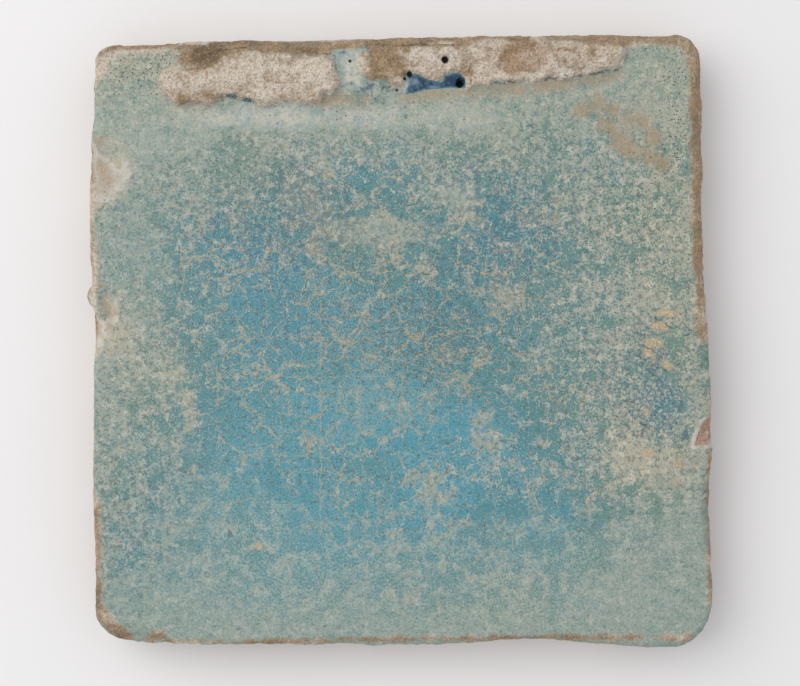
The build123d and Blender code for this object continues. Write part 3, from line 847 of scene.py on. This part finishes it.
# Ochre earth fills the craze lines and fissures, and lies in grains beside them
earth_cover = g.times(beside, g.rise(crazed, 0.0, 0.8), 0.24)
earth_cover = g.add(-0.02, g.times(crazed, 0.3), earth_cover, g.swing(medium, 0.5))
earth_grains = g.grains(fine_earth, g.math("MINIMUM", earth_cover, 0.6), 0.03)
face = g.mix(g.times(earth_grains, g.rise(calm, 0.1, 0.8, 0.7, 0.25)), face, EARTH_GRAIN)
breaks = g.rise(g.add(fine_earth, g.swing(medium, 0.9)), 0.38, 0.56)
arc_lines = g.times(g.fall(arcs, 0.04, 0.28), g.rise(crazed, 0.0, 0.5), breaks)
cell_lines = g.times(g.fall(small_cells, 0.02, 0.26), g.rise(crazed, 0.1, 0.8), breaks)
fissures = g.within(0.16, g.nearest_seam(FISSURES, wobbled), 0.14)
fissures = g.times(fissures, g.rise(breaks, 0.0, 1.0, 0.45, 1.0))
earth = g.most(arc_lines, g.times(cell_lines, 0.8), fissures)
face = g.mix(g.times(earth, g.rise(calm, 0.2, 0.9, 0.7, 0.3)), face, EARTH_LINE)

# Dark blue veins where the glaze ran thick
vein_gap = g.border(1.9, g.bent(g.moved(15.0), short_waves, 2.0))
vein_level = g.add(g.layer("veins"), g.swing(cluster, 2.6), g.swing(medium, 1.8))
veins = g.times(g.fall(vein_gap, 0.1, 0.4), g.rise(vein_level, 0.4, 1.0))
face = g.mix(g.times(veins, 0.6), face, VEIN_BLUE)

# Milky glaze between the lumps, and a pale bloom under the scar
milk_and_sheen_level = g.add(g.layer("milk_and_sheen"), g.swing(medium, 0.8))
milk_colour = g.mix(g.rise(medium, 0.42, 0.66), MILK_WHITE, MILK_BLUE)
face = g.mix(g.times(g.rise(milk_and_sheen_level, 0.25, 0.8), 0.72), face, milk_colour)

# Pale patches where the glaze is worn thin, ochre spots, and brown stains, with painted shade in the bands
# just under the scar
worn = g.rise(g.add(g.layer("worn"), g.swing(medium, 1.4), g.swing(fine, 0.8)), -0.5, 0.6)
face = g.mix(g.times(worn, 0.85), face, g.mix(g.rise(medium, 0.36, 0.6), WORN_BUFF, WORN_WHITE))
ochre = g.rise(g.add(g.layer("ochre"), g.swing(medium, 1.0), g.swing(fine, 0.6)), 0.35, 0.7)
face = g.mix(g.times(ochre, 0.75), face, g.mix(g.rise(fine, 0.42, 0.6), PALE_OCHRE, DARK_OCHRE))
stain_and_shade = g.add(g.layer("stain_and_shade"), g.swing(medium, 4.0), g.swing(fine, 1.6), g.swing(cluster, 3.4))
stain_and_shade = g.times(g.rise(stain_and_shade, -2.0, 1.9), g.rise(fine, 0.34, 0.56, 0.45, 0.78))
face = g.mix(stain_and_shade, face, STAIN_AND_SHADE_BROWN)

# Pinholes of different widths, one at most in each small cell
PIN_CELL = 1.35
pins = g.cells(PIN_CELL, "F1", g.moved(13.0))
pin_draws = g.node("ShaderNodeSeparateColor", {0: pins.outputs["Color"]}).outputs
pin_gap = g.add(g.times(pins.outputs["Distance"], PIN_CELL), g.times(pin_draws[1], 0.22))
pin_here = g.rise(g.add(g.layer("pinholes"), g.times(pin_draws[0], -1.0)), -0.1, 0.1)
pin = g.times(g.fall(pin_gap, 0.16, 0.4), pin_here)
face = g.mix(g.times(pin, 0.8), face, PINHOLE_BLACK)

# The fired clay: pale and pinkish on the scar, brown where it is worn, with painted shade in its hollows and
# painted highlights on its crests
clay_grain = g.solid_noise(0.8, 2.0, 0.75, 121.0)
crag = g.solid_noise(2.4, 3.0, 0.7, 171.0)
clay_tone = g.swing(g.solid_noise(4.0, 2.0, 0.65, 131.0), 0.9)
clay_tone = g.rise(g.add(g.layer("brown"), clay_tone, g.swing(crag, 0.9)), 0.2, 0.75)
# Pale clay for the pale grains, and painted highlight on the crests
clay_highlight_and_pale_grain = g.mix(clay_tone, CLAY_WHITE, CLAY_SAND)
brown_clay = g.mix(g.rise(cluster, 0.38, 0.62), GREY_BROWN, WARM_BROWN)
clay_colour = g.mix(clay_tone, CLAY_PALE, brown_clay)
# Painted shade where the crag relief and the crumbs are low, painted highlight where they are high
clay_colour = g.mix(g.rise(crag, 0.48, 0.34, 0.0, 0.4), clay_colour, CRAG_SHADE)
clay_colour = g.mix(g.rise(g.layer("crumbs"), 0.4, 0.0, 0.0, 0.4), clay_colour, CRUMB_SHADE)
clay_colour = g.mix(g.rise(crag, 0.52, 0.68, 0.0, 0.35), clay_colour, clay_highlight_and_pale_grain)
clay_colour = g.mix(g.rise(g.layer("crumbs"), 0.55, 0.95, 0.0, 0.4), clay_colour, clay_highlight_and_pale_grain)
milk_patch = g.rise(g.add(g.layer("milk_and_sheen"), g.swing(crag, 1.0)), 0.3, 0.7)
clay_colour = g.mix(g.times(milk_patch, 0.7), clay_colour, CLAY_MILK)
smooth_break = g.rise(g.add(g.layer("break"), g.swing(crag, 3.0)), -0.4, 0.6)
clay_colour = g.mix(g.times(smooth_break, 0.65), clay_colour, BREAK_PINK)
# Painted shade in the hollows, and darker clay at the corners and along the right edge
hollow_shade_and_dark_edges = g.rise(g.add(g.layer("deep"), g.swing(crag, 1.0)), 0.2, 0.9, 0.0, 0.8)
clay_colour = g.mix(hollow_shade_and_dark_edges, clay_colour, HOLLOW_SHADE_BROWN)
clay_colour = g.mix(g.rise(clay_grain, 0.48, 0.68, 0.0, 0.55), clay_colour, GRAIN_BROWN)
clay_colour = g.mix(g.rise(clay_grain, 0.5, 0.34, 0.0, 0.5), clay_colour, clay_highlight_and_pale_grain)
# Dark brown cracks, and painted shadow along the left lump's upper edge
cracks_and_shadows = g.within(0.22, g.nearest_seam(CRACKS_AND_SHADOWS, wobbled), 0.2)
cracks_and_shadows = g.times(cracks_and_shadows, g.rise(medium, 0.36, 0.5), g.layer("upper"))
clay_colour = g.mix(g.times(cracks_and_shadows, 0.75), clay_colour, CRACK_AND_SHADOW_BROWN)
chip = g.rise(g.add(g.layer("chip"), g.swing(fine, 0.6)), -0.1, 0.15)
clay_colour = g.mix(chip, clay_colour, g.mix(g.rise(clay_grain, 0.4, 0.6), CHIP_PALE, CHIP_RED))

# Where the clay shows, with a pale rim round the chip and dark lines at the foot of the scar, thick glaze
# with painted shade under the lumps
chip_rim = g.rise(g.add(g.layer("chip"), g.swing(medium, 1.6)), -1.5, -0.7)
face = g.mix(g.times(chip_rim, g.rise(medium, 0.3, 0.6, 0.3, 0.8)), face, RIM_WHITE)
bare = g.rise(g.add(g.layer("bare"), g.swing(medium, 2.2), g.swing(fine, 1.2)), -0.6, 1.0)
clay_edge = g.add(g.layer("clay"), g.swing(medium, 1.6), g.swing(fine, 0.8))
clay_share = g.most(g.rise(clay_edge, -0.12, 0.25), g.times(bare, 0.92), chip)
skin = g.mix(clay_share, face, clay_colour)
# Dark blue lines: thick glaze with painted shade at the foot of the scar, and slate lines on the right
foot_lines_and_shade = g.within(0.3, g.nearest_seam(BLUE_LINES_AND_FOOT_SHADE, wobbled), 0.25)
foot_lines_and_shade = g.times(foot_lines_and_shade, g.rise(medium, 0.4, 0.52), g.layer("upper"))
skin = g.mix(g.times(foot_lines_and_shade, 0.75), skin, FOOT_BLUE_AND_SHADE)

# Flecks of thick blue glaze, and blue-grey painted shade in the dent on the left side
flecks_and_dent_shade = g.rise(g.add(g.layer("flecks_and_dent_shade"), g.swing(medium, 1.1), g.swing(fine, 0.7)), 0.4, 0.75)
skin = g.mix(g.times(flecks_and_dent_shade, 0.75), skin, g.mix(g.rise(fine, 0.42, 0.62), FLECK_DARK, FLECK_LIGHT))

# The pool of thick cobalt glaze in the scar, with painted highlights and a painted whitish sheen on its gloss
pool_depth = g.add(g.layer("pool"), g.swing(medium, 1.2))
pool_share = g.rise(pool_depth, -0.1, 0.15)
pool_colour = g.mix(g.rise(pool_depth, 0.0, 0.8), POOL_RIM, POOL_BLUE)
# Painted highlights where the crag noise is high, and painted sheen where the milk spots lie
pool_colour = g.mix(g.rise(crag, 0.52, 0.6, 0.0, 0.5), pool_colour, POOL_PAINTED_HIGHLIGHT)
pool_colour = g.mix(g.rise(milk_and_sheen_level, 0.3, 0.8, 0.0, 0.5), pool_colour, POOL_PAINTED_SHEEN)
skin = g.mix(pool_share, skin, pool_colour)

# Burst bubbles are painted black inside: painted shade in their holes
bubble_shade = g.most(*[g.within(radius * 0.95, g.away((x, y), g.place)) for x, y, radius, _ in BUBBLES])
skin = g.mix(g.times(bubble_shade, g.layer("upper"), 0.92), skin, BUBBLE_SHADE_BLACK)

# Crust, stains with the painted shade under the scar, and clay are matt, and the pool is glossy; the clay's
# crumbs stand out a little
matt = g.most(g.times(crust, 0.8), clay_share, g.times(stain_and_shade, 0.8))
roughness = g.add(g.rise(matt, 0.0, 1.0, 0.5, 0.93), g.times(pool_share, -0.72))
rubble = g.times(clay_share, g.add(g.swing(clay_grain, 0.8), g.swing(crag, 1.8)))
height = g.times(g.add(rubble, g.times(fine, 0.06), g.times(medium, 0.1)), MM)
bump = g.node("ShaderNodeBump", {"Height": height, "Distance": 1.0, "Strength": 0.8})
g.tree.links.new(skin, g.shader.inputs["Base Color"])
g.tree.links.new(roughness, g.shader.inputs["Roughness"])
g.tree.links.new(bump.outputs[0], g.shader.inputs["Normal"])
g.shader.inputs["Specular IOR Level"].default_value = 0.3
mesh.materials.clear()
mesh.materials.append(material)

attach(tile, "root")
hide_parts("tile")

# A plain pale floor
FLOOR_REACH = 3.0
floor_mesh = bpy.data.meshes.new("floor")
floor_corners = [(x * FLOOR_REACH, y * FLOOR_REACH, 0) for x, y in ((-1, -1), (1, -1), (1, 1), (-1, 1))]
floor_mesh.from_pydata(floor_corners, [], [(0, 1, 2, 3)])
floor = bpy.data.objects.new("floor", floor_mesh)
bpy.context.scene.collection.objects.link(floor)
floor_material = bpy.data.materials.new("pale_floor")
floor_material.use_nodes = True
floor_shader = floor_material.node_tree.nodes["Principled BSDF"]
floor_shader.inputs["Base Color"].default_value = (0.86, 0.85, 0.85, 1)
floor_shader.inputs["Roughness"].default_value = 0.9
floor_mesh.materials.append(floor_material)

# A large soft light from the upper left and an even surround
KEY_PLACE = (-0.80, 0.42, 1.15)
key_data = bpy.data.lights.new("key", "AREA")
key_data.shape = "DISK"
key_data.size = 1.5
key_data.energy = 10.9
key_data.color = (1.0, 0.97, 0.93)
key = bpy.data.objects.new("key", key_data)
key.location = KEY_PLACE
key.rotation_euler = (-Vector(KEY_PLACE)).to_track_quat("-Z", "Y").to_euler()
bpy.context.scene.collection.objects.link(key)
world = bpy.data.worlds.new("surround")
world.use_nodes = True
world.node_tree.nodes["Background"].inputs["Color"].default_value = (0.955, 0.97, 1.0, 1)
world.node_tree.nodes["Background"].inputs["Strength"].default_value = 0.70
bpy.context.scene.world = world

# The camera looks straight down on the face. Its height makes VIEW_WIDTH fill the picture's width at the
# height where the tile is widest. Lengths in millimetres.
LENS = 90.0
SENSOR = 36.0
VIEW_WIDTH = 256.0
VIEW_SHIFT = -0.84
WIDEST_AT = 19.4
camera_data = bpy.data.cameras.new("camera")
camera_data.lens = LENS
camera_data.sensor_width = SENSOR
camera = bpy.data.objects.new("camera", camera_data)
camera.location = (0, VIEW_SHIFT * MM, (VIEW_WIDTH * LENS / SENSOR + WIDEST_AT) * MM)
bpy.context.scene.collection.objects.link(camera)
bpy.context.scene.camera = camera
bpy.context.scene.view_settings.view_transform = "Standard"
